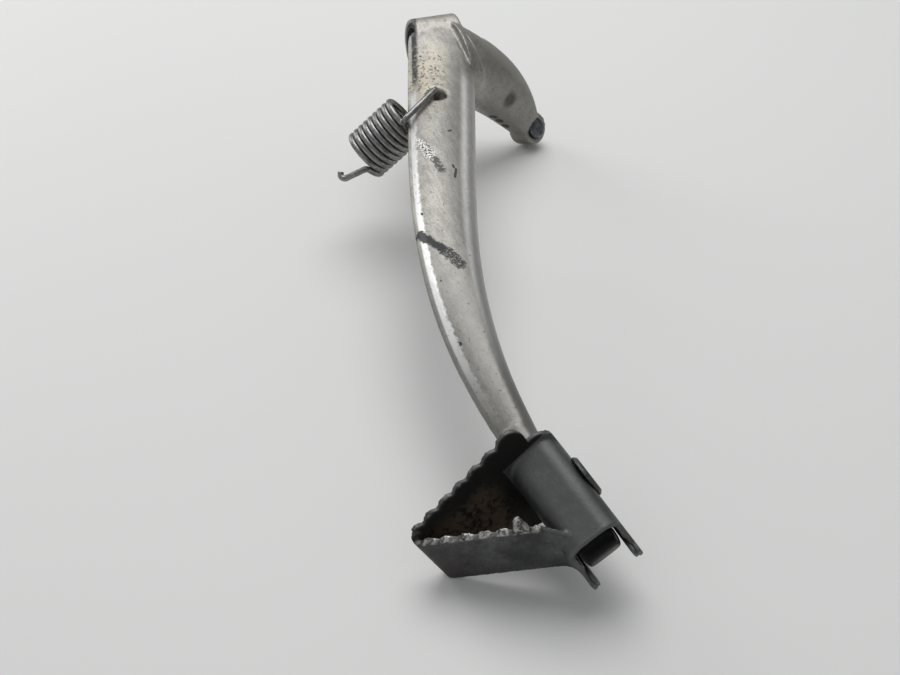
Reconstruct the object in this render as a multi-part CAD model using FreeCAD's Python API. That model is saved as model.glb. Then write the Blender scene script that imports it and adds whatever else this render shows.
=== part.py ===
import FreeCAD, Part
import math
import os

# Motorbike rear brake pedal, in millimetres.
# Origin: centre of the pivot bore. +X runs forward to the toe step, +Y inboard, +Z up.

# Pivot boss with its bush and two dust seals
boss_outer_radius = 10.8
boss_outer_end = -10.8
boss_inner_end = 7.0
bush_outer_radius = 8.4
bush_inner_radius = 7.0
bush_fit = 0.02
seal_outer_radius = 9.3
seal_depth = 2.4
seal_fit = 0.03
seal_lip_gap = 0.9
seal_lip_depth = 0.9
seal_recess = 0.4

# Forged arm: a curved spine that carries a tapering section
spine_rise = FreeCAD.Vector(90.0, -29.2, -4.0)
spine_fall = FreeCAD.Vector(128.5, -51.4, -8.7)
spine_end = FreeCAD.Vector(187.0, -43.6, -22.2)
spine_sections = 11
arm_root_width = 24.6
arm_tip_width = 8.9
arm_belly_width = 2.8
arm_root_thickness = 12.0
arm_tip_thickness = 9.2
root_blend = 0.2
root_drop = 0.7
outer_edge_height = 2.8
ledge_slope = 1.5
pocket_wall = 3.4
pocket_web = 4.6
pocket_start = 0.17
pocket_stop = 0.58

# Spring hole in the arm
spring_hole_station = 0.184
spring_hole_offset = -1.7
spring_hole_radius = 3.5
spring_hole_chamfer = 0.9

# Lever neck and push-rod lug
lever_root = FreeCAD.Vector(8.5, 3.2, -4.6)
lever_root_length = 18.5
lever_root_height = 15.4
lever_waist = FreeCAD.Vector(8.4, 17.0, -14.0)
lever_waist_length = 12.0
lever_waist_height = 12.4
lug_eye = FreeCAD.Vector(8.3, 34.8, -37.5)
lug_eye_radius = 6.4
lug_thickness = 9.0
lug_neck_radius = 5.6
pin_direction = FreeCAD.Vector(0.81, 0.40, 0.33)
pin_radius = 4.0
pin_fit = 0.02
pin_stand_out = 1.6
pin_edge_round = 0.7

# Toe step: one sheet-steel pressing over the tongue of the arm
step_yaw = 11.6
step_pitch = 11.4
step_roll = 30.0
sheet = 1.6
tongue_width = 8.2
tongue_height = 10.0
tongue_length = 26.0
tongue_fit = 0.05
entry_clear = 1.3
mouth_lead = 1.0
channel_start = 1.0
channel_length = 29.5
channel_depth = 14.4
channel_corner = 4.8
tine_reach = 6.1
tine_height = 4.2
flange_lip = 1.3
flange_slit = 0.8
wall_top = 13.2
wall_bottom = -4.0
wall_lean = 8.6
corner_x = 10.8
corner_y = -39.5
corner_bend = 2.2
knee_bend = 6.0
crease_reach = 3.2
far_wall_drop = 10.5
far_wall_x = 7.5
near_wall_x = 31.0
scallop_count = 6
scallop_depth = 1.1
far_wall_dip = 1.7
lobe_radius = 3.3
lobe_shift = 2.4
lobe_height = 0.8
tooth_count = 6
tooth_wear = 2.4
tooth_depth = 0.9
last_tooth = 4.4
last_tooth_rise = 1.4

# Rivet through channel and tongue
rivet_radius = 3.0
rivet_fit = 0.02
rivet_head_radius = 5.6
rivet_head_height = 1.3
rivet_setback = 10.8
rivet_z = -0.5
rivet_sink = 0.3

# Return spring hooked into the arm
wire_radius = 1.07
coil_mean_radius = 7.95
coil_turns = 8.86
coil_gap = 0.08
wire_sides = 8
coil_start = FreeCAD.Vector(4.14, -12.54, -5.42)
coil_axis = FreeCAD.Vector(-0.149, -0.733, -0.664)
coil_near_side = FreeCAD.Vector(0.717, -0.586, 0.379)
hook_over = FreeCAD.Vector(12.9, -15.5, -0.45)
wire_bend = 1.5
hook_lift = 2.0
hook_reach = 3.2
hook_foot = 3.2
tail_turn = 2.4
tail_direction = FreeCAD.Vector(-0.177, -0.908, -0.40)
tail_length = 10.9
tail_tip = FreeCAD.Vector(-0.48, 0.47, 0.73)
tail_curl = 3.6

across = FreeCAD.Vector(0, 1, 0)
upward = FreeCAD.Vector(0, 0, 1)


def vector(x, y, z):
    return FreeCAD.Vector(x, y, z)


def unit(direction):
    result = FreeCAD.Vector(direction)
    result.normalize()
    return result


def line(start, end):
    return Part.LineSegment(start, end).toShape()


def arc(start, middle, end):
    return Part.Arc(start, middle, end).toShape()


def polygon_face(points):
    return Part.Face(Part.makePolygon(points + [points[0]]))


def rounded_wire(points, bends):
    # straight runs joined by tangent arcs, one bend radius for each corner
    edges = []
    here = points[0]
    for before, corner, after, bend in zip(points, points[1:], points[2:], bends):
        back = unit(before.sub(corner))
        ahead = unit(after.sub(corner))
        half = back.getAngle(ahead) / 2
        reach = bend / math.tan(half)
        first = corner + back * reach
        last = corner + ahead * reach
        middle = corner + unit(back + ahead) * (bend / math.sin(half) - bend)
        edges.append(line(here, first))
        edges.append(arc(first, middle, last))
        here = last
    edges.append(line(here, points[-1]))
    return Part.Wire(edges)


def swept_round(path, radius):
    edge = path.Edges[0]
    start = edge.valueAt(edge.FirstParameter)
    direction = edge.tangentAt(edge.FirstParameter)
    side = unit(direction.cross(upward + across * 2))
    other = direction.cross(side)
    corners = []
    for index in range(wire_sides):
        turn = 2 * math.pi * index / wire_sides
        corners.append(start + side * (radius * math.cos(turn)) + other * (radius * math.sin(turn)))
    ring = Part.makePolygon(corners + corners[:1])
    return path.makePipeShell([ring], True, False)


def ease(value):
    held = min(max(value, 0.0), 1.0)
    return held * held * (3 - 2 * held)


# Forged arm
def spine_point(t):
    rest = 1 - t
    return spine_rise * (3 * rest * rest * t) + spine_fall * (3 * rest * t * t) + spine_end * (t ** 3)


def spine_tangent(t):
    rest = 1 - t
    rise = spine_rise * (3 * rest * rest - 6 * rest * t)
    fall = spine_fall * (6 * rest * t - 3 * t * t)
    return unit(rise + fall + spine_end * (3 * t * t))


def arm_frame(t):
    # inboard and up directions of a section, rolled with the step over the last half
    ahead = spine_tangent(t)
    level = unit(vector(-ahead.y, ahead.x, 0))
    up = ahead.cross(level)
    roll = math.radians(step_roll) * ease(2 * t - 1)
    inboard = level * math.cos(roll) + up * math.sin(roll)
    return inboard, ahead.cross(inboard)


def arm_width(t):
    return arm_root_width + (arm_tip_width - arm_root_width) * t + arm_belly_width * math.sin(math.pi * t)


def arm_thickness(t):
    # the root swells to just under the height of the boss
    swell = max(0.0, 1 - t / root_blend)
    plain = arm_root_thickness + (arm_tip_thickness - arm_root_thickness) * t
    return plain + (2 * (boss_outer_radius - root_drop) - arm_root_thickness) * swell * swell


def arm_section(t):
    # crowned top, thin outer ledge, full round inboard side, flat underside
    centre = spine_point(t)
    inboard, up = arm_frame(t)
    half = arm_width(t) / 2
    top = arm_thickness(t) / 2

    def at(side, height):
        return centre + inboard * side + up * height

    crest = top - 0.12 * half
    rim = crest - 0.06 * half
    outer_top = at(-half, rim)
    outer_crest = at(-0.94 * half, crest)
    shoulder = at(0.62 * half, top - 0.16 * half)
    low_round = at(0.66 * half, -top)
    inner_floor = at(-0.15 * half, -top)
    ledge_root = at(-0.4 * half, rim - ledge_slope * outer_edge_height)
    outer_low = at(-half, rim - outer_edge_height)
    return Part.Wire([
        line(outer_top, outer_crest),
        arc(outer_crest, at(-0.15 * half, top), shoulder),
        arc(shoulder, at(half, 0.0), low_round),
        line(low_round, inner_floor),
        line(inner_floor, ledge_root),
        line(ledge_root, outer_low),
        line(outer_low, outer_top),
    ])


def pocket_section(t):
    # tapered relief under the arm, between its outer edge and its inboard round
    centre = spine_point(t)
    inboard, up = arm_frame(t)
    half = arm_width(t) / 2
    top = arm_thickness(t) / 2
    roof = up * (top - pocket_web - 0.1 * half)
    floor = up * (-top - pocket_web)
    wide = inboard * (0.8 * (half - pocket_wall))
    narrow = inboard * (0.66 * (half - pocket_wall))
    corners = [centre - narrow + roof, centre + narrow + roof, centre + wide + floor, centre - wide + floor]
    return Part.makePolygon(corners + corners[:1])


def spring_hole_top():
    inboard, up = arm_frame(spring_hole_station)
    height = arm_thickness(spring_hole_station) / 2
    return spine_point(spring_hole_station) + inboard * spring_hole_offset + up * height


def spring_hole():
    top = spring_hole_top()
    deep = 2 * arm_root_thickness
    drill = Part.makeCylinder(spring_hole_radius, 2 * deep, top - upward * deep, upward)
    foot = top - upward * spring_hole_chamfer
    mouth = Part.makeCone(spring_hole_radius, spring_hole_radius + deep, deep, foot, upward)
    return drill.fuse(mouth)


def lever_section(centre, normal, length, height):
    # closed oval across the lever, its length measured forward
    forward = vector(1, 0, 0)
    ahead = unit(forward - normal * normal.dot(forward))
    beside = normal.cross(ahead)
    angles = [math.pi * index / 4 for index in range(8)]
    points = [centre + ahead * (length * math.cos(a)) + beside * (height * math.sin(a)) for a in angles]
    curve = Part.BSplineCurve()
    curve.interpolate(Points=points, PeriodicFlag=True)
    return Part.Wire(curve.toShape())


def lever():
    axis = unit(pin_direction)
    run = unit(lug_eye - lever_waist)
    root = lever_section(lever_root, across, lever_root_length, lever_root_height)
    waist = lever_section(lever_waist, unit(across + run), lever_waist_length, lever_waist_height)
    tip = lever_section(lug_eye, run, lug_neck_radius, lug_neck_radius)
    neck = Part.makeLoft([root, waist, tip], True, False)
    eye = Part.makeCylinder(lug_eye_radius, lug_thickness, lug_eye - axis * (lug_thickness / 2), axis)
    return neck.fuse(eye)


def pivot_bore():
    length = boss_inner_end - boss_outer_end
    bore = Part.makeCylinder(bush_outer_radius + bush_fit, length, vector(0, boss_outer_end, 0), across)
    deep = seal_depth + seal_recess
    # both seats run on outwards, clear of the arm's root and of the lever
    outer_seat = Part.makeCylinder(seal_outer_radius + seal_fit, 4 * deep,
                                   vector(0, boss_outer_end - 3 * deep, 0), across)
    inner_seat = Part.makeCylinder(seal_outer_radius + seal_fit, 4 * deep,
                                   vector(0, boss_inner_end - deep, 0), across)
    return [bore, outer_seat, inner_seat]


def pin_bore():
    axis = unit(pin_direction)
    return Part.makeCylinder(pin_radius + pin_fit, 2 * lug_thickness, lug_eye - axis * lug_thickness, axis)


# Step frame: X along the tongue, Y inboard, Z out of the tread
step_turn = FreeCAD.Rotation(step_yaw, step_pitch, step_roll)
step_place = FreeCAD.Placement(spine_end, step_turn)
channel_half = tongue_width / 2 + tongue_fit + sheet
channel_top = tongue_height / 2 + tongue_fit + sheet
channel_floor = channel_top - channel_depth
flange_face = channel_half + sheet
step_front = channel_start + channel_length + tine_reach
rivet_x = tongue_length - rivet_setback


def in_step_frame(shape):
    result = shape.copy()
    result.Placement = step_place.multiply(result.Placement)
    return result


def edges_along_x(shape, low):
    return [edge for edge in shape.Edges
            if abs(edge.tangentAt(edge.FirstParameter).x) > 0.99 and edge.CenterOfMass.z > low]


def tongue():
    overlap = tongue_height / 2
    block = Part.makeBox(tongue_length + overlap, tongue_width, tongue_height,
                         vector(-overlap, -tongue_width / 2, -tongue_height / 2))
    nose = [edge for edge in block.Edges
            if abs(edge.CenterOfMass.x - tongue_length) < 0.01
            and abs(edge.tangentAt(edge.FirstParameter).y) > 0.99]
    crowned = block.makeFillet(channel_corner - sheet, edges_along_x(block, 0))
    return block.makeFillet(0.4 * tongue_height, nose).common(crowned)


def rivet_bore():
    reach = 4 * channel_half
    return Part.makeCylinder(rivet_radius + rivet_fit, reach, vector(rivet_x, -reach / 2, rivet_z), across)


def pedal_arm():
    sections = [arm_section(index / (spine_sections - 1)) for index in range(spine_sections)]
    arm = Part.makeLoft(sections, True, False)
    span = pocket_stop - pocket_start
    hollows = [pocket_section(pocket_start + span * index / 3) for index in range(4)]
    arm = arm.cut(Part.makeLoft(hollows, True, False))
    length = boss_inner_end - boss_outer_end
    boss = Part.makeCylinder(boss_outer_radius, length, vector(0, boss_outer_end, 0), across)
    body = boss.fuse([arm, lever(), in_step_frame(tongue())])
    return body.cut(pivot_bore() + [spring_hole(), pin_bore(), in_step_frame(rivet_bore())])


# Bush, seals and pin
def pivot_bush():
    deep = seal_depth + seal_recess
    length = boss_inner_end - boss_outer_end - 2 * deep
    start = vector(0, boss_outer_end + deep, 0)
    tube = Part.makeCylinder(bush_outer_radius, length, start, across)
    return tube.cut(Part.makeCylinder(bush_inner_radius, length, start, across))


def dust_seal(seat, outward):
    # ring with a lip groove on its open face, turned about the pivot axis
    inner = bush_inner_radius + seal_lip_gap
    middle = (inner + seal_outer_radius) / 2
    half_groove = (seal_outer_radius - inner) / 6

    def at(radius, height):
        return vector(radius, seat + outward * height, 0)

    profile = polygon_face([
        at(inner, 0), at(seal_outer_radius, 0), at(seal_outer_radius, seal_depth),
        at(middle + half_groove, seal_depth), at(middle, seal_depth - seal_lip_depth),
        at(middle - half_groove, seal_depth), at(inner, seal_depth),
    ])
    return profile.revolve(vector(0, 0, 0), across, 360)


def push_rod_pin():
    axis = unit(pin_direction)
    length = lug_thickness + pin_stand_out
    pin = Part.makeCylinder(pin_radius, length, lug_eye - axis * (lug_thickness / 2), axis)
    ends = [edge for edge in pin.Edges if edge.Closed and len(edge.Vertexes) == 1]
    return pin.makeChamfer(pin_edge_round, ends)


# Toe step
def folded_strip(points, bends):
    # plan of one folded sheet: its outer line, and the same line moved in by the thickness
    runs = [unit(after - before) for before, after in zip(points, points[1:])]
    sides = [upward.cross(run) for run in runs]
    inner = [points[0] + sides[0] * sheet]
    for corner, before, after in zip(points[1:], sides, sides[1:]):
        inner.append(corner + (before + after) * (sheet / (1 + before.dot(after))))
    inner.append(points[-1] + sides[-1] * sheet)
    turns = [before.cross(after).z for before, after in zip(runs, runs[1:])]
    inner_bends = [bend - math.copysign(sheet, turn) for bend, turn in zip(bends, turns)]
    edges = rounded_wire(points, bends).Edges + rounded_wire(inner, inner_bends).Edges
    edges += [line(points[0], inner[0]), line(points[-1], inner[-1])]
    return Part.Face(Part.Wire(Part.__sortEdges__(edges)))


def wall_cutter(origin, ahead, edges_of_profile):
    # everything above a profile drawn along a wall, through the leaning wall's thickness
    normal = unit(ahead.cross(upward))
    turn = FreeCAD.Rotation(ahead, upward, normal * -1, "XYZ")
    face = Part.Face(Part.Wire(edges_of_profile))
    face.Placement = FreeCAD.Placement(origin - normal * (1.5 * sheet), turn)
    return face.extrude(normal * (4.5 * sheet))


def far_wall_profile(length):
    low = wall_top - scallop_depth
    lip = channel_top + flange_lip
    lobe_middle = length + channel_half - lobe_shift
    first = 2 * corner_bend
    last = lobe_middle - lobe_radius
    pitch = (last - first) / scallop_count
    sky = wall_top + 2 * lobe_radius
    foot = vector(-sheet * 3, low - far_wall_dip, 0)
    edges = [line(vector(foot.x, sky, 0), foot), line(foot, vector(first, foot.y, 0))]
    for index in range(scallop_count):
        left = vector(first + pitch * index, low - far_wall_dip * (1 - index / scallop_count), 0)
        right = vector(left.x + pitch, left.y + far_wall_dip / scallop_count, 0)
        crown = (left + right) / 2 + across * scallop_depth
        edges.append(arc(left, crown, right))
    landing = lobe_middle + lobe_radius
    far_end = length + 4 * channel_half
    lobe_crown = vector(lobe_middle, wall_top + lobe_height, 0)
    edges.append(arc(vector(last, low, 0), lobe_crown, vector(landing, lip, 0)))
    shoulder = length + channel_half + flange_face
    edges.append(arc(vector(landing, lip, 0), vector(shoulder - sheet, lip - flange_lip, 0),
                     vector(shoulder, lip - channel_corner, 0)))
    edges.append(line(vector(shoulder, lip - channel_corner, 0), vector(far_end, lip - channel_corner, 0)))
    edges.append(line(vector(far_end, lip - channel_corner, 0), vector(far_end, sky, 0)))
    edges.append(line(vector(far_end, sky, 0), vector(foot.x, sky, 0)))
    return edges


def near_wall_profile(length):
    worn = wall_top - tooth_wear
    start = -sheet
    chunk = length - 2 * last_tooth
    pitch = (chunk - start) / tooth_count
    points = []
    for index in range(tooth_count):
        left = start + pitch * index
        points.append(vector(left, worn - tooth_depth, 0))
        points.append(vector(left + 0.35 * pitch, worn, 0))
        points.append(vector(left + 0.7 * pitch, worn - 0.2 * tooth_depth, 0))
    points.append(vector(chunk, worn - tooth_depth, 0))
    points.append(vector(chunk + 0.2 * last_tooth, wall_top + 0.3 * last_tooth_rise, 0))
    points.append(vector(chunk + 0.6 * last_tooth, wall_top + last_tooth_rise, 0))
    points.append(vector(chunk + last_tooth, worn - tooth_depth, 0))
    points.append(vector(chunk + 1.3 * last_tooth, worn, 0))
    points.append(vector(length + crease_reach, channel_top, 0))
    points.append(vector(length + 2 * channel_half, channel_top, 0))
    points.append(vector(length + 2 * channel_half, wall_top + last_tooth, 0))
    points.append(vector(start, wall_top + last_tooth, 0))
    return [line(a, b) for a, b in zip(points, points[1:] + points[:1])]


def stirrup():
    # one strip: far wall, outer fold, near wall, and a knee that turns it along the hood into a tine
    rise = vector(-wall_lean, 0, wall_top + 2 * lobe_height - wall_bottom)
    corner = vector(corner_x, corner_y, wall_bottom)
    far_foot = vector(far_wall_x, -channel_half, wall_bottom)
    near_foot = vector(near_wall_x, -channel_half, wall_bottom)
    along_far = unit(far_foot - corner)
    along_near = unit(near_foot - corner)
    far_end = corner + along_far * ((flange_face - corner_y) / along_far.y)
    knee = near_foot - along_near * (sheet / along_near.y)
    tine_end = vector(step_front, -flange_face, wall_bottom)
    band = folded_strip([far_end, corner, knee, tine_end], [corner_bend, knee_bend]).extrude(rise)

    fold_side = corner + along_far * (4 * corner_bend)
    lap = rise * (sheet / rise.z)
    drop = rise * (-far_wall_drop / rise.z)
    apron = polygon_face([fold_side + lap, far_foot + lap, far_foot + drop, fold_side])
    apron = apron.extrude(along_far.cross(upward) * sheet)

    shift = rise * ((wall_top - wall_bottom) / rise.z)
    top_corner = vector(corner.x + shift.x, corner.y, 0)
    far_cut = wall_cutter(top_corner, along_far, far_wall_profile(far_foot.distanceToPoint(corner)))
    near_start = top_corner + along_near * (2 * corner_bend)
    near_cut = wall_cutter(near_start, along_near,
                           near_wall_profile(near_foot.distanceToPoint(corner) - 2 * corner_bend))
    entry = channel_half - sheet + entry_clear
    head_room = channel_top - sheet + entry_clear
    depth = wall_top - wall_bottom + far_wall_drop
    window = Part.makeBox(2 * depth, 2 * entry, 2 * depth,
                          vector(channel_start + sheet - 2 * depth, -entry, head_room - 2 * depth))
    knee_corner = vector(far_wall_x + channel_half, -flange_face - sheet, channel_top - channel_corner)
    knee_cut = Part.makeBox(step_front, 2 * sheet, depth, knee_corner)
    crease_end = near_foot + along_near * crease_reach
    crease_start = knee - along_near * (2 * knee_bend)
    inward = upward.cross(along_near) * sheet
    crease = polygon_face([crease_start, crease_end, crease_end + inward, crease_start + inward])
    crease = crease.extrude(rise)
    band = band.fuse(apron).cut([far_cut, window, knee_cut])
    return band.fuse(crease).cut(near_cut)


def front_cut():
    # side view of the open mouth: web cut back, walls left standing as two tines
    mouth = channel_start + channel_length
    low = channel_floor + tine_height
    outline = [
        vector(mouth, 0, channel_top + 4 * sheet), vector(mouth, 0, channel_top - channel_corner),
        vector(mouth + 0.55 * tine_reach, 0, low), vector(step_front + sheet, 0, low),
        vector(step_front + sheet, 0, channel_top + 4 * sheet),
    ]
    blade = polygon_face(outline).extrude(across * (6 * channel_half))
    blade.translate(across * (-3 * channel_half))
    return blade


def arch(start, half):
    # round-shouldered space under the hood, open downwards and to the front
    room = Part.makeBox(4 * channel_length, 2 * half, 3 * channel_depth,
                        vector(start, -half, channel_top - sheet - 3 * channel_depth))
    return room.makeFillet(channel_corner - sheet, edges_along_x(room, 0))


def toe_step():
    length = channel_length + tine_reach
    hood_corner = vector(channel_start, -flange_face, channel_floor)
    hood = Part.makeBox(length, 2 * flange_face, channel_depth, hood_corner)
    hood = hood.makeFillet(channel_corner, edges_along_x(hood, 0))
    hollow = arch(-length, channel_half - sheet)
    mouth = arch(tongue_length + mouth_lead, flange_face - sheet)
    slits = []
    for middle in (-channel_half, channel_half):
        corner = vector(step_front - 0.75 * tine_reach, middle - flange_slit / 2, channel_floor - sheet)
        slits.append(Part.makeBox(tine_reach, flange_slit, channel_depth, corner))
    step = hood.fuse(stirrup())
    return in_step_frame(step.cut([hollow, mouth, front_cut(), rivet_bore()] + slits))


def step_rivet():
    head_face = vector(rivet_x, flange_face, rivet_z)
    tail_face = vector(rivet_x, rivet_sink - flange_face, rivet_z)
    shank = Part.makeCylinder(rivet_radius, 2 * flange_face - rivet_sink, tail_face, across)
    head = Part.makeCylinder(rivet_head_radius, rivet_head_height, head_face, across)
    middle = flange_face + rivet_head_height / 2
    rim = [edge for edge in head.Edges
           if edge.Closed and len(edge.Vertexes) == 1 and edge.CenterOfMass.y > middle]
    head = head.makeChamfer(0.6 * rivet_head_height, rim)
    return in_step_frame(shank.fuse(head))


# Return spring
def return_spring():
    axis = unit(coil_axis)
    near = unit(coil_near_side - axis * axis.dot(coil_near_side))
    beside = axis.cross(near)
    pitch = 2 * wire_radius + coil_gap
    top = spring_hole_top()
    first_ring = top + coil_start
    helix = Part.makeHelix(pitch, pitch * coil_turns, coil_mean_radius)
    helix.Placement = FreeCAD.Placement(first_ring, FreeCAD.Rotation(near, beside, axis, "ZXY"))
    coil = swept_round(Part.Wire(helix.Edges), wire_radius)

    lead = unit(beside * (2 * math.pi * coil_mean_radius) + axis * pitch)
    coil_head = first_ring + near * coil_mean_radius
    leg_top = top + upward * hook_lift
    leg_end = top - upward * (pocket_web + hook_reach)
    outboard = unit(vector(hook_over.x, hook_over.y, 0))
    hook_foot_end = leg_end + outboard * hook_foot
    hook = rounded_wire([hook_foot_end, leg_end, leg_top, top + hook_over,
                         coil_head - lead * tail_turn, coil_head], [wire_bend] * 4)
    turned = 2 * math.pi * coil_turns
    spoke = near * math.cos(turned) + beside * math.sin(turned)
    coil_foot = first_ring + spoke * coil_mean_radius + axis * (pitch * coil_turns)
    leave = unit(axis.cross(spoke) * (2 * math.pi * coil_mean_radius) + axis * pitch)
    elbow = coil_foot + leave * tail_turn
    tail_end = elbow + unit(tail_direction) * tail_length
    tail_path = [coil_foot, elbow, tail_end, tail_end + unit(tail_tip) * tail_curl]
    tail = rounded_wire(tail_path, [wire_bend] * 2)
    return coil.fuse([swept_round(hook, wire_radius), swept_round(tail, wire_radius)])


pieces = {
    "pedal_arm": pedal_arm(),
    "pivot_bush": pivot_bush(),
    "outer_dust_seal": dust_seal(boss_outer_end + seal_depth + seal_recess, -1),
    "inner_dust_seal": dust_seal(boss_inner_end - seal_depth - seal_recess, 1),
    "push_rod_pin": push_rod_pin(),
    "toe_step": toe_step(),
    "step_rivet": step_rivet(),
    "return_spring": return_spring(),
}
os.makedirs("parts", exist_ok=True)
for name, shape in pieces.items():
    print(name, shape.isValid(), len(shape.Solids), round(shape.Volume, 1))
    shape.exportStep("parts/" + name + ".step")
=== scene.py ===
import bpy
import numpy as np
from mathutils import Matrix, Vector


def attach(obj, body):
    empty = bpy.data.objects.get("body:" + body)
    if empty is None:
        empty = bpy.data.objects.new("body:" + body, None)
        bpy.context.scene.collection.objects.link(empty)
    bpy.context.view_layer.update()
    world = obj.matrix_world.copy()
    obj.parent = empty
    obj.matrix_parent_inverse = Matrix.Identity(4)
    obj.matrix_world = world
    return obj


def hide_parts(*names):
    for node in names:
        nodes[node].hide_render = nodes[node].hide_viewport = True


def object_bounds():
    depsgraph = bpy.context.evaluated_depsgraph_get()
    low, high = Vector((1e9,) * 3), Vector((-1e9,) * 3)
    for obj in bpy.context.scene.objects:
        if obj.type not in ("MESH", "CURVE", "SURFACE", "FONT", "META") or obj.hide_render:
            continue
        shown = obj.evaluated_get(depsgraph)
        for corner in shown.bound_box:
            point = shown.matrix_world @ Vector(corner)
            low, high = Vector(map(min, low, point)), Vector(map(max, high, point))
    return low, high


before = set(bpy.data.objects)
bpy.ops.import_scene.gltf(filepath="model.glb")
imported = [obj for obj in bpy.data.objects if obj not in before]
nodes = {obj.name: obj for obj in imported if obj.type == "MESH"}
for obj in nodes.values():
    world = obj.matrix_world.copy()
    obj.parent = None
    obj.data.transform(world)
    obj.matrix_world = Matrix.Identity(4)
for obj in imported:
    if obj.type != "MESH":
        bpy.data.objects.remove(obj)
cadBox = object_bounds()
print("frame loaded:", sorted(nodes))

mm = 0.001


# Shader sockets as Python values
class Value:
    def __init__(self, tree, socket):
        self.tree = tree
        self.socket = socket

    # one node: its type, its settings, then the values or links of its sockets
    def node(self, kind, settings, inputs, out=0):
        made = self.tree.nodes.new(kind)
        for name, what in settings.items():
            setattr(made, name, what)
        for name, what in inputs.items():
            if isinstance(what, Value):
                self.tree.links.new(what.socket, made.inputs[name])
            else:
                made.inputs[name].default_value = what
        return Value(self.tree, made.outputs[out])

    def maths(self, operation, first, second=0.0):
        return self.node("ShaderNodeMath", {"operation": operation}, {0: first, 1: second})

    def vectorMaths(self, operation, other, out=0):
        return self.node("ShaderNodeVectorMath", {"operation": operation}, {0: self, 1: other}, out)

    def __add__(self, other):
        return self.maths("ADD", self, other)

    def __radd__(self, other):
        return self.maths("ADD", other, self)

    def __sub__(self, other):
        return self.maths("SUBTRACT", self, other)

    def __rsub__(self, other):
        return self.maths("SUBTRACT", other, self)

    def __mul__(self, other):
        return self.maths("MULTIPLY", self, other)

    def __rmul__(self, other):
        return self.maths("MULTIPLY", other, self)

    def __truediv__(self, other):
        return self.maths("DIVIDE", self, other)

    def __pow__(self, other):
        return self.maths("POWER", self, other)

    def __abs__(self):
        return self.maths("ABSOLUTE", self)

    # 0 below low, 1 above high, eased between
    def rise(self, low, high):
        return self.node("ShaderNodeMapRange", {"interpolation_type": "SMOOTHSTEP"},
                         {"Value": self, "From Min": low, "From Max": high})

    # 1 below low, 0 above high
    def fall(self, low, high):
        return 1 - self.rise(low, high)

    # a vector's share along a direction
    def along(self, direction):
        return self.vectorMaths("DOT_PRODUCT", direction, "Value")

    def distance(self, point):
        return self.vectorMaths("DISTANCE", point, "Value")

    def most(self, other):
        return self.maths("MAXIMUM", self, other)

    def shifted(self, offset):
        return self.vectorMaths("SUBTRACT", offset)

    def stretched(self, scale):
        return self.vectorMaths("MULTIPLY", scale)

    def noise(self, scale, detail, rough):
        inputs = {"Vector": self, "Scale": scale, "Detail": detail, "Roughness": rough}
        return self.node("ShaderNodeTexNoise", {}, inputs, "Fac")

    # first colour where this is 0, second where it is 1
    def tint(self, first, second):
        return self.node("ShaderNodeMix", {"data_type": "RGBA"}, {0: self, 6: first, 7: second}, 2)


# a new material: its shader, its position in millimetres and a function that fills sockets
def startMaterial(name):
    material = bpy.data.materials.new(name)
    material.use_nodes = True
    tree = material.node_tree
    shader = tree.nodes["Principled BSDF"]
    root = Value(tree, None)
    place = root.node("ShaderNodeTexCoord", {}, {}, "Object").stretched((1 / mm, 1 / mm, 1 / mm))

    def feed(**sockets):
        for name, what in sockets.items():
            target = shader.inputs[name.replace("_", " ")]
            if isinstance(what, Value):
                tree.links.new(what.socket, target)
            else:
                target.default_value = what

    return material, place, feed


def bumped(place, height, distance, strength):
    inputs = {"Height": height, "Distance": distance, "Strength": strength}
    return place.node("ShaderNodeBump", {}, inputs, "Normal")


def colour(r, g, b):
    return (r, g, b, 1.0)


# step frame: u along the tongue, v inboard, w out of the tread; the corner is where the two walls meet
stepFrame = {
    "origin": (187.0, -43.6, -22.2), "yaw": 11.6, "pitch": 11.4, "roll": 30.0,
    "corner": (10.8, -39.5), "bottom": -4.0, "lean": 0.457, "farSlope": -0.0978, "nearSlope": 0.5985,
}


def stepAxes():
    yaw, pitch, roll = (np.radians(stepFrame[k]) for k in ("yaw", "pitch", "roll"))
    turned = Matrix.Rotation(yaw, 3, "Z") @ Matrix.Rotation(pitch, 3, "Y") @ Matrix.Rotation(roll, 3, "X")
    return [tuple(turned.col[index]) for index in range(3)]


pressing = {
    "dark": colour(0.056, 0.056, 0.057), "grey": colour(0.135, 0.135, 0.135),
    "hood": colour(0.115, 0.115, 0.116), "rim": colour(0.17, 0.17, 0.168),
    "rust": colour(0.11, 0.075, 0.045), "plum": colour(0.075, 0.055, 0.060),
    "silver": colour(0.58, 0.57, 0.54), "oilAndShade": colour(0.012, 0.012, 0.013),
    "hollow": colour(0.026, 0.025, 0.024),
}


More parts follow.
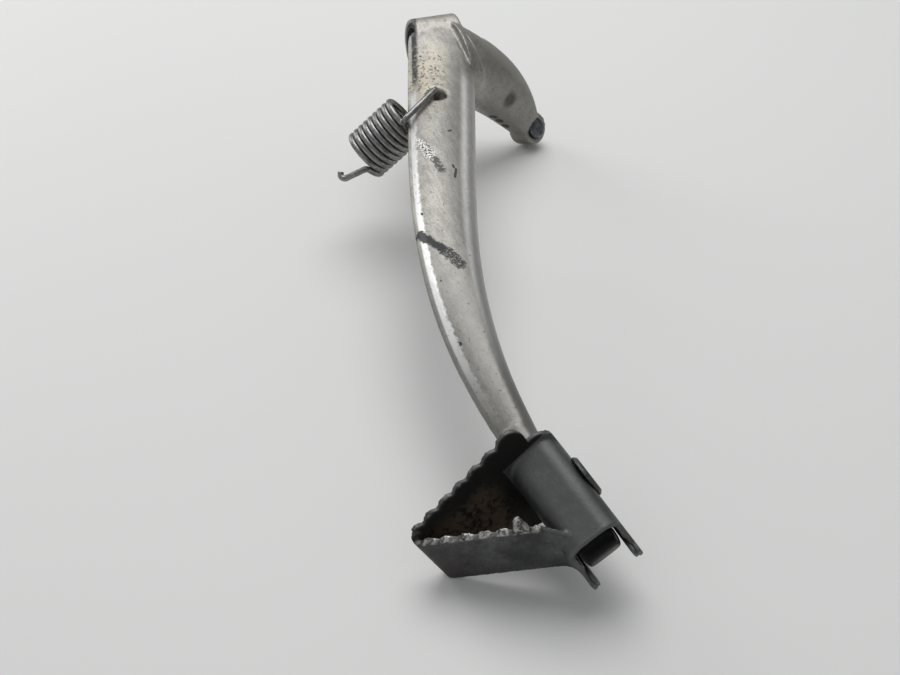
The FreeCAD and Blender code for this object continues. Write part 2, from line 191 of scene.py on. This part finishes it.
# colours of the arm, then places on it in millimetres: strokes have two ends and a half width
forging = {
    "pale": colour(0.425, 0.408, 0.378), "grey": colour(0.265, 0.256, 0.238),
    "shade": colour(0.20, 0.197, 0.188), "cream": colour(0.55, 0.50, 0.40),
    "brown": colour(0.15, 0.115, 0.08), "sootAndShade": colour(0.03, 0.031, 0.034),
    "polishAndHighlight": colour(0.86, 0.86, 0.85), "scuffed": colour(0.05, 0.053, 0.06),
    "outerEdge": ((0.0, -12.9), (40.0, -25.9), (80.0, -38.8), (120.0, -49.0), (160.0, -52.5), (200.0, -46.1)),
    "widthCurve": (-0.0003, -0.03, 25.0),
    "scuff": ((113.0, -46.4), (121.5, -42.4), 1.3), "patch": ((122.5, -41.9), (129.0, -39.4), 1.7),
    "flakes": ((70.1, -31.6), (79.0, -31.0), 1.7), "dent": ((81.0, -30.6), (87.1, -30.2), 1.1),
    "paintedRecessShade": (18.3, 22.2, -18.1), "slot": ((14.2, 17.0, -26.4), (13.5, 19.9, -29.1), (12.4, 23.1, -32.4)),
    "hole": (34.0, -13.5, 5.0),
    "nicks": (((104.7, -42.9), (105.3, -42.9)), ((154.8, -49.3), (155.4, -49.3)),
              ((85.4, -25.8), (86.6, -26.0)), ((87.3, -25.5), (91.3, -27.3)), ((67.4, -20.9), (66.9, -19.8))),
}


# a curve's value from its factors, highest power first
def curve(factors, x):
    total = factors[0]
    for factor in factors[1:]:
        total = total * x + factor
    return total


# distance of a point from a short stroke on the arm's face, in millimetres
def strokeDistance(x, y, first, last):
    (ax, ay), (bx, by) = first, last
    run = float(np.hypot(bx - ax, by - ay))
    ux, uy = (bx - ax) / run, (by - ay) / run
    ahead = (x - ax) * ux + (y - ay) * uy
    beside = (x - ax) * (-uy) + (y - ay) * ux
    held = ahead.maths("MINIMUM", ahead.most(0.0), run)
    gap = ahead - held
    return (gap * gap + beside * beside) ** 0.5


def forgedAluminium():
    material, place, feed = startMaterial("wornForgedAluminium")
    x = place.along((1.0, 0.0, 0.0))
    y = place.along((0.0, 1.0, 0.0))
    z = place.along((0.0, 0.0, 1.0))
    # the outer edge is the curve through its points, as y over x
    edgeX, edgeY = zip(*forging["outerEdge"])
    edgeCurve = np.polyfit(edgeX, edgeY, len(edgeX) - 1).tolist()
    inFromEdge = y - curve(edgeCurve, x)
    across = inFromEdge / curve(forging["widthCurve"], x)
    mottle = place.stretched((0.6, 1.0, 1.0)).noise(0.30, 5.0, 0.65)
    brushed = place.stretched((0.05, 0.9, 0.9)).noise(1.4, 5.0, 0.7)
    grain = place.noise(1.8, 5.0, 0.7)
    ragged = place.noise(0.55, 4.0, 0.7)
    tone = (mottle * 0.35 + brushed * 0.3 + grain * 0.35).rise(0.40, 0.58)
    base = tone.tint(forging["grey"], forging["pale"])
    # painted shade: the face darkens towards its inboard flank, which turns away from the light; the lever is
    # darker all over, and the face darker towards the step
    flank = (across.rise(0.42, 0.70) * 0.5 - across.rise(0.80, 0.97) * 0.4) * x.rise(14.0, 30.0)
    lever = y.rise(8.0, 13.0) * x.fall(20.0, 30.0)
    paintedShadeAndDarkening = flank.most(lever * (0.15 + mottle * 0.4)).most(x.rise(90.0, 150.0) * (0.6 + across * 0.2))
    base = paintedShadeAndDarkening.tint(base, forging["shade"])
    # painted reflection: the outermost strip of that flank is lightened as a lit flank would be
    paintedFlankReflection = across.rise(0.80, 0.90) * x.rise(26.0, 40.0) * x.fall(150.0, 180.0)
    base = (paintedFlankReflection * 0.32).tint(base, forging["polishAndHighlight"])
    # painted highlights on the lever's upper edge and along its forged ridge
    paintedUpperHighlight = (z + (y - 13.9) * 1.1).rise(0.5, 3.5) * lever
    ridgeAndHighlight = abs(y - x * 0.25 - 2.9).fall(0.3, 0.9) * z.rise(-9.0, -5.0)
    ridgeAndHighlight = ridgeAndHighlight * x.rise(12.0, 15.0) * x.fall(24.0, 27.0)
    base = (paintedUpperHighlight * 0.6).most(ridgeAndHighlight * 0.7).tint(base, forging["pale"])
    # painted shade darkens the lever's pocket and slot
    paintedRecessShade = place.distance(forging["paintedRecessShade"]).fall(1.5, 4.5) * (0.5 + ragged * 0.6)
    for spot in forging["slot"]:
        paintedRecessShade = paintedRecessShade.most(place.distance(spot).fall(1.2, 2.3))
    base = (paintedRecessShade * 0.85).tint(base, forging["sootAndShade"])
    # cream corrosion round the spring hole, with dark pits
    nearHole = place.distance(forging["hole"]).fall(7.0, 25.0)
    cream = nearHole * (mottle * 0.6 + ragged * 0.4).rise(0.40, 0.56) * across.fall(0.50, 0.72)
    base = (cream * 0.75).tint(base, forging["cream"])
    pits = (place.noise(0.8, 4.0, 0.65) + nearHole * across.fall(0.45, 0.65) * 0.10).rise(0.66, 0.71)
    base = (pits * 0.85).tint(base, forging["brown"])
    # dirt left along the outer rim near the boss
    groove = inFromEdge.rise(1.3, 2.0) * inFromEdge.fall(3.0, 4.2) * x.fall(30.0, 41.0)
    groove = groove * (ragged + 0.42).rise(0.72, 0.95) * z.rise(0.0, 3.0)
    base = (groove * 0.9).tint(base, forging["sootAndShade"])
    # rim polished by handling, with a painted highlight along its rounded edge
    polishAndHighlight = inFromEdge.rise(0.9, 1.4) * (inFromEdge + (ragged - 0.5) * 2.0).fall(2.4, 3.3)
    polishAndHighlight = polishAndHighlight * x.rise(36.0, 46.0) * x.fall(140.0, 185.0)
    base = (polishAndHighlight * 0.9).tint(base, forging["polishAndHighlight"])

    def mark(name, wobble):
        first, last, wide = forging[name]
        return (strokeDistance(x, y, first, last) + (ragged - 0.5) * wobble).fall(wide - 0.35, wide + 0.35)

    # scuff across the rim, its speckled end, the flaked dent nearer the pivot and small nicks
    scuff = mark("scuff", 4.0).most(mark("patch", 6.0) * grain.rise(0.44, 0.52) * 0.9)
    glint = mark("flakes", 5.0) * grain.rise(0.46, 0.54) * 0.7
    scuff = scuff.most(mark("flakes", 5.0) * grain.fall(0.42, 0.48) * 0.8)
    scuff = scuff.most(mark("dent", 5.0) * ragged.rise(0.36, 0.5) * 0.7)
    for first, last in forging["nicks"]:
        scuff = scuff.most(strokeDistance(x, y, first, last).fall(0.2, 0.45))
    base = glint.tint(base, forging["polishAndHighlight"])
    base = (scuff * 0.95).tint(base, forging["scuffed"])
    specks = place.noise(1.1, 3.0, 0.6).rise(0.62, 0.68) * x.rise(40.0, 60.0) * across.fall(0.7, 0.85)
    base = (specks * 0.6).tint(base, forging["brown"])
    dirt = scuff.most(groove).most(pits * 0.7)
    # the tongue's end inside the step is black with oil and painted shade
    u = place.shifted(stepFrame["origin"]).along(stepAxes()[0])
    oilAndShade = u.rise(3.0, 5.0)
    base = oilAndShade.tint(base, pressing["oilAndShade"])
    rough = 0.44 + brushed * 0.14 - polishAndHighlight * 0.18 + dirt * 0.35 - oilAndShade * 0.22 + lever * 0.06
    height = grain * 0.4 + brushed * 0.4 + mottle * 0.3 - dirt * 1.6 - mark("dent", 4.0) * 2.0 + ridgeAndHighlight * 2.0
    feed(Base_Color=base, Metallic=1 - dirt.most(cream * 0.5) * 0.85, Roughness=rough,
         Normal=bumped(place, height, 0.00016, 0.7))
    return material


def oxidisedSheet():
    material, place, feed = startMaterial("oxidisedStepSheet")
    uAxis, vAxis, wAxis = stepAxes()
    local = place.shifted(stepFrame["origin"])
    u = local.along(uAxis)
    v = local.along(vAxis)
    w = local.along(wAxis)
    cornerU, cornerV = stepFrame["corner"]
    # distances in from the outer faces of the two leaning walls
    upright = u + (w - stepFrame["bottom"]) * stepFrame["lean"] - cornerU
    out = v - cornerV
    farGap = upright - out * stepFrame["farSlope"]
    nearGap = out * stepFrame["nearSlope"] - upright
    wing = v.fall(-7.9, -7.45)
    farWall = farGap.fall(2.2, 3.4) * wing.most(w.rise(6.9, 7.4))
    nearWall = nearGap.fall(2.4, 3.4) * (1 - farWall) * wing
    clouds = place.noise(0.12, 4.0, 0.6)
    fine = place.noise(1.6, 5.0, 0.7)
    speck = place.noise(0.7, 3.0, 0.6)
    tone = (clouds * 0.7 + fine * 0.3).rise(0.36, 0.64)
    base = tone.tint(pressing["dark"], pressing["grey"])
    # the hood is paler on its crown
    crown = w.rise(2.0, 6.0) * (1 - wing) * (0.45 + clouds * 0.8)
    base = crown.tint(base, pressing["hood"])
    worn = (speck * 0.5 + fine * 0.5).rise(0.50, 0.64) * clouds.rise(0.40, 0.60) * 0.45
    base = worn.tint(base, pressing["rim"])
    # shaded inner face of the far wall, rust low down towards the corner
    inner = farWall * farGap.rise(0.9, 1.5)
    base = inner.tint(base, pressing["hollow"])
    rust = inner * (speck * 0.5 + clouds * 0.5).rise(0.43, 0.56) * w.fall(4.0, 11.0) * v.fall(-16.0, -8.0)
    base = (rust * 0.9).tint(base, pressing["rust"])
    plum = v.fall(-33.0, -24.0) * clouds.rise(0.38, 0.58) * (1 - inner)
    base = (plum * 0.7).tint(base, pressing["plum"])
    # teeth rubbed bright by the boot, painted highlights along the scallop rims
    teethWearAndHighlight = w.rise(9.7, 10.6) * nearWall * (fine * 0.35 + speck * 0.65).rise(0.41, 0.58) * 0.85
    rimHeight = 12.4 - (v + 9.0) * (v + 9.0) * 0.0019
    rim = (w - rimHeight).rise(-0.2, 0.5) * farWall * speck.rise(0.42, 0.56) * v.fall(-15.0, -11.0) * 0.4
    teethWearAndHighlight = teethWearAndHighlight.most(rim)
    base = teethWearAndHighlight.tint(base, pressing["silver"])
    # oil and painted shade in the open mouth, a paler lip round it
    mouthOilAndShade = u.rise(26.0, 27.5) * u.fall(30.6, 32.0) * w.fall(3.6, 4.6) * abs(v).fall(5.4, 5.9)
    lip = u.rise(29.0, 30.2) * (1 - mouthOilAndShade) * (0.3 + speck * 0.5)
    base = lip.tint(base, pressing["rim"])
    base = mouthOilAndShade.tint(base, pressing["oilAndShade"])
    rough = 0.44 + fine * 0.16 + rust * 0.25 + inner * 0.2 - teethWearAndHighlight * 0.12 - mouthOilAndShade * 0.15
    height = fine * 0.4 + speck * 0.6 + rust * fine * 1.5
    feed(Base_Color=base, Metallic=0.85 - rust * 0.7, Roughness=rough,
         Normal=bumped(place, height, 0.00014, 0.6))
    return material


def plainFinish(name, metallic=1.0):
    material, place, feed = startMaterial(name)
    dark, light, rough = finishes[name]
    clouds = place.noise(0.5, 4.0, 0.6)
    fine = place.noise(2.5, 4.0, 0.7)
    base = (clouds * 0.5 + fine * 0.5).rise(0.36, 0.64).tint(dark, light)
    feed(Base_Color=base, Metallic=metallic, Roughness=rough + fine * 0.18,
         Normal=bumped(place, fine * 0.6 + clouds, 0.0001, 0.5))
    return material


# a new object, linked to the scene
def placed(name, data):
    item = bpy.data.objects.new(name, data)
    bpy.context.scene.collection.objects.link(item)
    return item


def dressNode(name, material):
    mesh = nodes[name].data
    mesh.materials.clear()
    mesh.materials.append(material)


# a forging's or pressing's soft edges: close the mesh, rebuild it finely and relax it
softening = {
    "pedal_arm": {"voxel": 0.55, "rounds": 5}, "toe_step": {"voxel": 0.36, "rounds": 3},
    "step_rivet": {"voxel": 0.25, "rounds": 4}, "push_rod_pin": {"voxel": 0.25, "rounds": 3},
}
weldGap = 0.002


def softenEdges(name):
    soft = softening[name]
    item = nodes[name]
    weld = item.modifiers.new("closeMesh", "WELD")
    weld.merge_threshold = weldGap * mm
    fineMesh = item.modifiers.new("fineMesh", "REMESH")
    fineMesh.mode = "VOXEL"
    fineMesh.voxel_size = soft["voxel"] * mm
    fineMesh.use_smooth_shade = True
    relax = item.modifiers.new("relax", "SMOOTH")
    relax.factor = 0.5
    relax.iterations = soft["rounds"]


spring = {
    "holeTop": (44.647, -16.979, 3.429), "coilStart": (4.14, -12.54, -5.42), "axis": (-0.149, -0.733, -0.664),
    "nearSide": (0.717, -0.586, 0.379), "meanRadius": 7.95, "turns": 8.86, "pitch": 2.22, "wire": 1.07,
    "hookLift": 2.0, "legDrop": 7.8, "hookFoot": 3.2, "hookOver": (12.9, -15.5, -0.45), "tailTurn": 2.4,
    "tailDirection": (-0.177, -0.908, -0.40), "tailLength": 10.9, "tailTip": (-0.48, 0.47, 0.73),
    "tailCurl": 3.6, "bend": 1.5, "sides": 16, "stepsPerTurn": 44,
}


def unit(vector):
    vector = np.asarray(vector, float)
    return vector / np.linalg.norm(vector)


# straight runs joined by tangent arcs, sampled evenly in turn
def bentPath(corners, bend, samples=9):
    parts = [np.array([corners[0]])]
    for before, corner, after in zip(corners, corners[1:], corners[2:]):
        back = unit(before - corner)
        ahead = unit(after - corner)
        half = np.arccos(np.clip(back @ ahead, -1, 1)) / 2
        middle = corner + unit(back + ahead) * bend / np.sin(half)
        first = corner + back * bend / np.tan(half) - middle
        last = corner + ahead * bend / np.tan(half) - middle
        sweep = np.pi - 2 * half
        part = np.linspace(0, 1, samples)[:, None]
        arc = (np.sin((1 - part) * sweep) * first + np.sin(part * sweep) * last) / np.sin(sweep)
        parts.append(middle + arc)
    parts.append(np.array([corners[-1]]))
    return np.concatenate(parts)


# tube: ring of wire radius carried along a path, P(s, a) = path(s) + r (cos a n + sin a b)
def tubeMesh(name, path, radius, sides, reference):
    tangent = np.gradient(path, axis=0)
    tangent /= np.linalg.norm(tangent, axis=1)[:, None]
    normal = np.cross(tangent, reference)
    normal /= np.linalg.norm(normal, axis=1)[:, None]
    beside = np.cross(tangent, normal)
    turn = np.linspace(0, 2 * np.pi, sides, endpoint=False)
    ring = normal[:, None, :] * np.cos(turn)[:, None] + beside[:, None, :] * np.sin(turn)[:, None]
    return skinRings(name, path[:, None, :] + radius * ring)


# closed skin over a row of rings, grid[ring, side], each end closed by a fan about its middle
def skinRings(name, grid):
    count, sides = grid.shape[:2]
    index = np.arange(count * sides).reshape(count, sides)
    nextSide = np.roll(index, -1, axis=1)
    quads = np.stack([index[:-1], nextSide[:-1], nextSide[1:], index[1:]], axis=-1).reshape(-1, 4)
    verts = np.concatenate([grid.reshape(-1, 3), grid[:1].mean(axis=1), grid[-1:].mean(axis=1)])
    tip = count * sides
    fanA = [(int(b), int(a), tip) for a, b in zip(index[0], nextSide[0])]
    fanB = [(int(a), int(b), tip + 1) for a, b in zip(index[-1], nextSide[-1])]
    mesh = bpy.data.meshes.new(name)
    mesh.from_pydata((verts * mm).tolist(), [], quads.tolist() + fanA + fanB)
    mesh.polygons.foreach_set("use_smooth", np.ones(len(mesh.polygons), bool))
    mesh.update()
    return mesh


# bars in the step's mouth: the tongue's rounded end, and the inner layer of each prong
bars = {
    # the tongue's end is wider than the tongue, so that its black fills the mouth as painted shade
    "tongueNose": {"start": 27.1, "end": 33.6, "round": 4.0, "half": (5.1, 4.98), "centre": (0.0, 0.0),
                   "slot": "forged_aluminium"},
    "outerProng": {"start": 27.6, "end": 36.5, "round": 1.2, "half": (0.62, 2.05), "centre": (-5.75, -5.65),
                   "slot": "step_steel"},
    "innerProng": {"start": 27.6, "end": 36.5, "round": 1.2, "half": (0.62, 2.05), "centre": (5.75, -5.65),
                   "slot": "step_steel"},
}
barSection = {"power": 0.45, "sides": 48, "endRings": 14, "sideShare": 0.3}


# superellipse rings, v = hv sgn(cos a) |cos a|^p, w = hw sgn(sin a) |sin a|^p,
# drawn in along a quarter circle at the end, less at the sides than above and below
def mouthBar(name, material):
    bar = bars[name]
    power = barSection["power"]
    lean = np.linspace(0, np.pi / 2, barSection["endRings"])
    inset = np.concatenate([[0.0], bar["round"] * (1 - np.cos(lean))])
    u = np.concatenate([[bar["start"]], bar["end"] - bar["round"] + bar["round"] * np.sin(lean)])
    turn = np.linspace(0, 2 * np.pi, barSection["sides"], endpoint=False)
    v = np.sign(np.cos(turn)) * np.abs(np.cos(turn)) ** power
    w = np.sign(np.sin(turn)) * np.abs(np.sin(turn)) ** power
    uAxis, vAxis, wAxis = (np.array(axis) for axis in stepAxes())
    halfV, halfW = bar["half"]
    midV, midW = bar["centre"]
    grid = np.array(stepFrame["origin"]) + u[:, None, None] * uAxis
    grid = grid + (midV + (halfV - barSection["sideShare"] * inset)[:, None] * v)[:, :, None] * vAxis
    grid = grid + (midW + (halfW - inset)[:, None] * w)[:, :, None] * wAxis
    piece = placed(name, skinRings(name, grid))
    piece.data.materials.append(material)
    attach(piece, "pedal")


def returnSpring(material):
    s = spring
    top = np.array(s["holeTop"])
    axis = unit(s["axis"])
    near = np.array(s["nearSide"])
    near = unit(near - axis * (axis @ near))
    beside = np.cross(axis, near)
    first = top + np.array(s["coilStart"])
    turn = np.linspace(0, 2 * np.pi * s["turns"], int(s["turns"] * s["stepsPerTurn"]))[:, None]
    coil = first + s["meanRadius"] * (near * np.cos(turn) + beside * np.sin(turn))
    coil = coil + axis * (s["pitch"] * turn / (2 * np.pi))
    lead = unit(coil[1] - coil[0])
    leave = unit(coil[-1] - coil[-2])
    legTop = top + np.array([0, 0, s["hookLift"]])
    legEnd = top - np.array([0, 0, s["legDrop"]])
    over = np.array(s["hookOver"])
    outboard = unit([over[0], over[1], 0])
    hook = bentPath([legEnd + outboard * s["hookFoot"], legEnd, legTop, top + over,
                     coil[0] - lead * s["tailTurn"], coil[0]], s["bend"])
    elbow = coil[-1] + leave * s["tailTurn"]
    tailEnd = elbow + unit(s["tailDirection"]) * s["tailLength"]
    tail = bentPath([coil[-1], elbow, tailEnd, tailEnd + unit(s["tailTip"]) * s["tailCurl"]], s["bend"])
    path = np.concatenate([hook[:-1], coil, tail[1:]])
    piece = placed("springWire", tubeMesh("springWire", path, s["wire"], s["sides"], axis))
    piece.data.materials.append(material)
    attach(piece, "spring")
    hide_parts("return_spring")


# plain finishes: dark and light colour of the clouding, least roughness
finishes = {
    "darkRivet": (colour(0.07, 0.07, 0.072), colour(0.14, 0.14, 0.14), 0.42),
    "bluedPin": (colour(0.045, 0.05, 0.058), colour(0.16, 0.17, 0.19), 0.3),
    "dullBronze": (colour(0.20, 0.15, 0.09), colour(0.36, 0.29, 0.19), 0.4),
    "oiledSpringWire": (colour(0.15, 0.15, 0.15), colour(0.36, 0.36, 0.35), 0.26),
    "sealRubber": (colour(0.018, 0.02, 0.025), colour(0.06, 0.065, 0.075), 0.55),
}
armMetal = forgedAluminium()
dressNode("pedal_arm", armMetal)
mouthBar("tongueNose", armMetal)
stepMetal = oxidisedSheet()
dressNode("toe_step", stepMetal)
mouthBar("outerProng", stepMetal)
mouthBar("innerProng", stepMetal)
dressNode("step_rivet", plainFinish("darkRivet"))
dressNode("push_rod_pin", plainFinish("bluedPin"))
dressNode("pivot_bush", plainFinish("dullBronze"))
sealRubber = plainFinish("sealRubber", metallic=0.0)
dressNode("outer_dust_seal", sealRubber)
dressNode("inner_dust_seal", sealRubber)
for nodeName in softening:
    softenEdges(nodeName)
returnSpring(plainFinish("oiledSpringWire"))
print("pieces dressed")

# floor, light and camera
stage = {
    "floorColour": colour(0.76, 0.76, 0.745), "floorHalf": 4.0,
    "roomDim": colour(0.34, 0.35, 0.36), "roomBright": colour(0.92, 0.94, 0.95), "roomStrength": 0.54,
}
lamps = {
    "skyPanel": {"place": (-0.30, 0.12, 0.9), "target": (0.1, -0.03, -0.02), "size": 0.9, "power": 6.0},
    "rimPanel": {"place": (-0.75, -0.50, 0.32), "target": (0.08, -0.03, -0.01), "size": 0.6, "power": 2.0},
}
view = {"place": (344.0, -121.0, 160.0), "ahead": (-0.720, 0.262, -0.643), "lens": 40.0, "sensor": 36.0}


def paleFloor():
    half = stage["floorHalf"]
    low = float(cadBox[0][2])
    mesh = bpy.data.meshes.new("paleTable")
    corners = [(-half, -half, low), (half, -half, low), (half, half, low), (-half, half, low)]
    mesh.from_pydata(corners, [], [(0, 1, 2, 3)])
    material, _, feed = startMaterial("paleTable")
    feed(Base_Color=stage["floorColour"], Roughness=0.6, Specular_IOR_Level=0.3)
    mesh.materials.append(material)
    placed("paleTable", mesh)


# a frame with its columns right, up and back, at a place in metres
def aimed(right, up, back, place):
    rows = [(right[i], up[i], back[i], place[i]) for i in range(3)]
    return Matrix(rows + [(0, 0, 0, 1)])


def areaLamp(name):
    lamp = lamps[name]
    data = bpy.data.lights.new(name, "AREA")
    data.shape = "DISK"
    data.size = lamp["size"]
    data.energy = lamp["power"]
    away = unit(np.array(lamp["place"]) - np.array(lamp["target"]))
    side = unit(np.cross((0.0, 1.0, 0.01), away))
    placed(name, data).matrix_world = aimed(side, np.cross(away, side), away, lamp["place"])


def photoCamera():
    data = bpy.data.cameras.new("photoCamera")
    data.sensor_width = view["sensor"]
    data.lens = view["lens"]
    data.clip_start = 0.01
    ahead = unit(view["ahead"])
    right = unit(np.cross(ahead, (0, 0, 1)))
    camera = placed("photoCamera", data)
    camera.matrix_world = aimed(right, np.cross(right, ahead), -ahead, np.array(view["place"]) * mm)
    bpy.context.scene.camera = camera


# the room is brighter overhead and outboard than inboard
def paleRoom():
    world = bpy.data.worlds.new("paleRoom")
    bpy.context.scene.world = world
    world.use_nodes = True
    tree = world.node_tree
    facing = Value(tree, None).node("ShaderNodeTexCoord", {}, {}, "Generated")
    overhead = facing.along((0.0, 0.0, 1.0)).rise(-0.1, 0.9)
    outboard = facing.along((-0.4, -0.9, 0.1)).rise(-0.6, 0.8)
    glow = (overhead * 0.5 + outboard * 0.5).tint(stage["roomDim"], stage["roomBright"])
    backdrop = tree.nodes["Background"]
    tree.links.new(glow.socket, backdrop.inputs["Color"])
    backdrop.inputs["Strength"].default_value = stage["roomStrength"]


paleFloor()
for lampName in lamps:
    areaLamp(lampName)
photoCamera()
paleRoom()
bpy.context.scene.view_settings.view_transform = "Standard"
print("stage set")
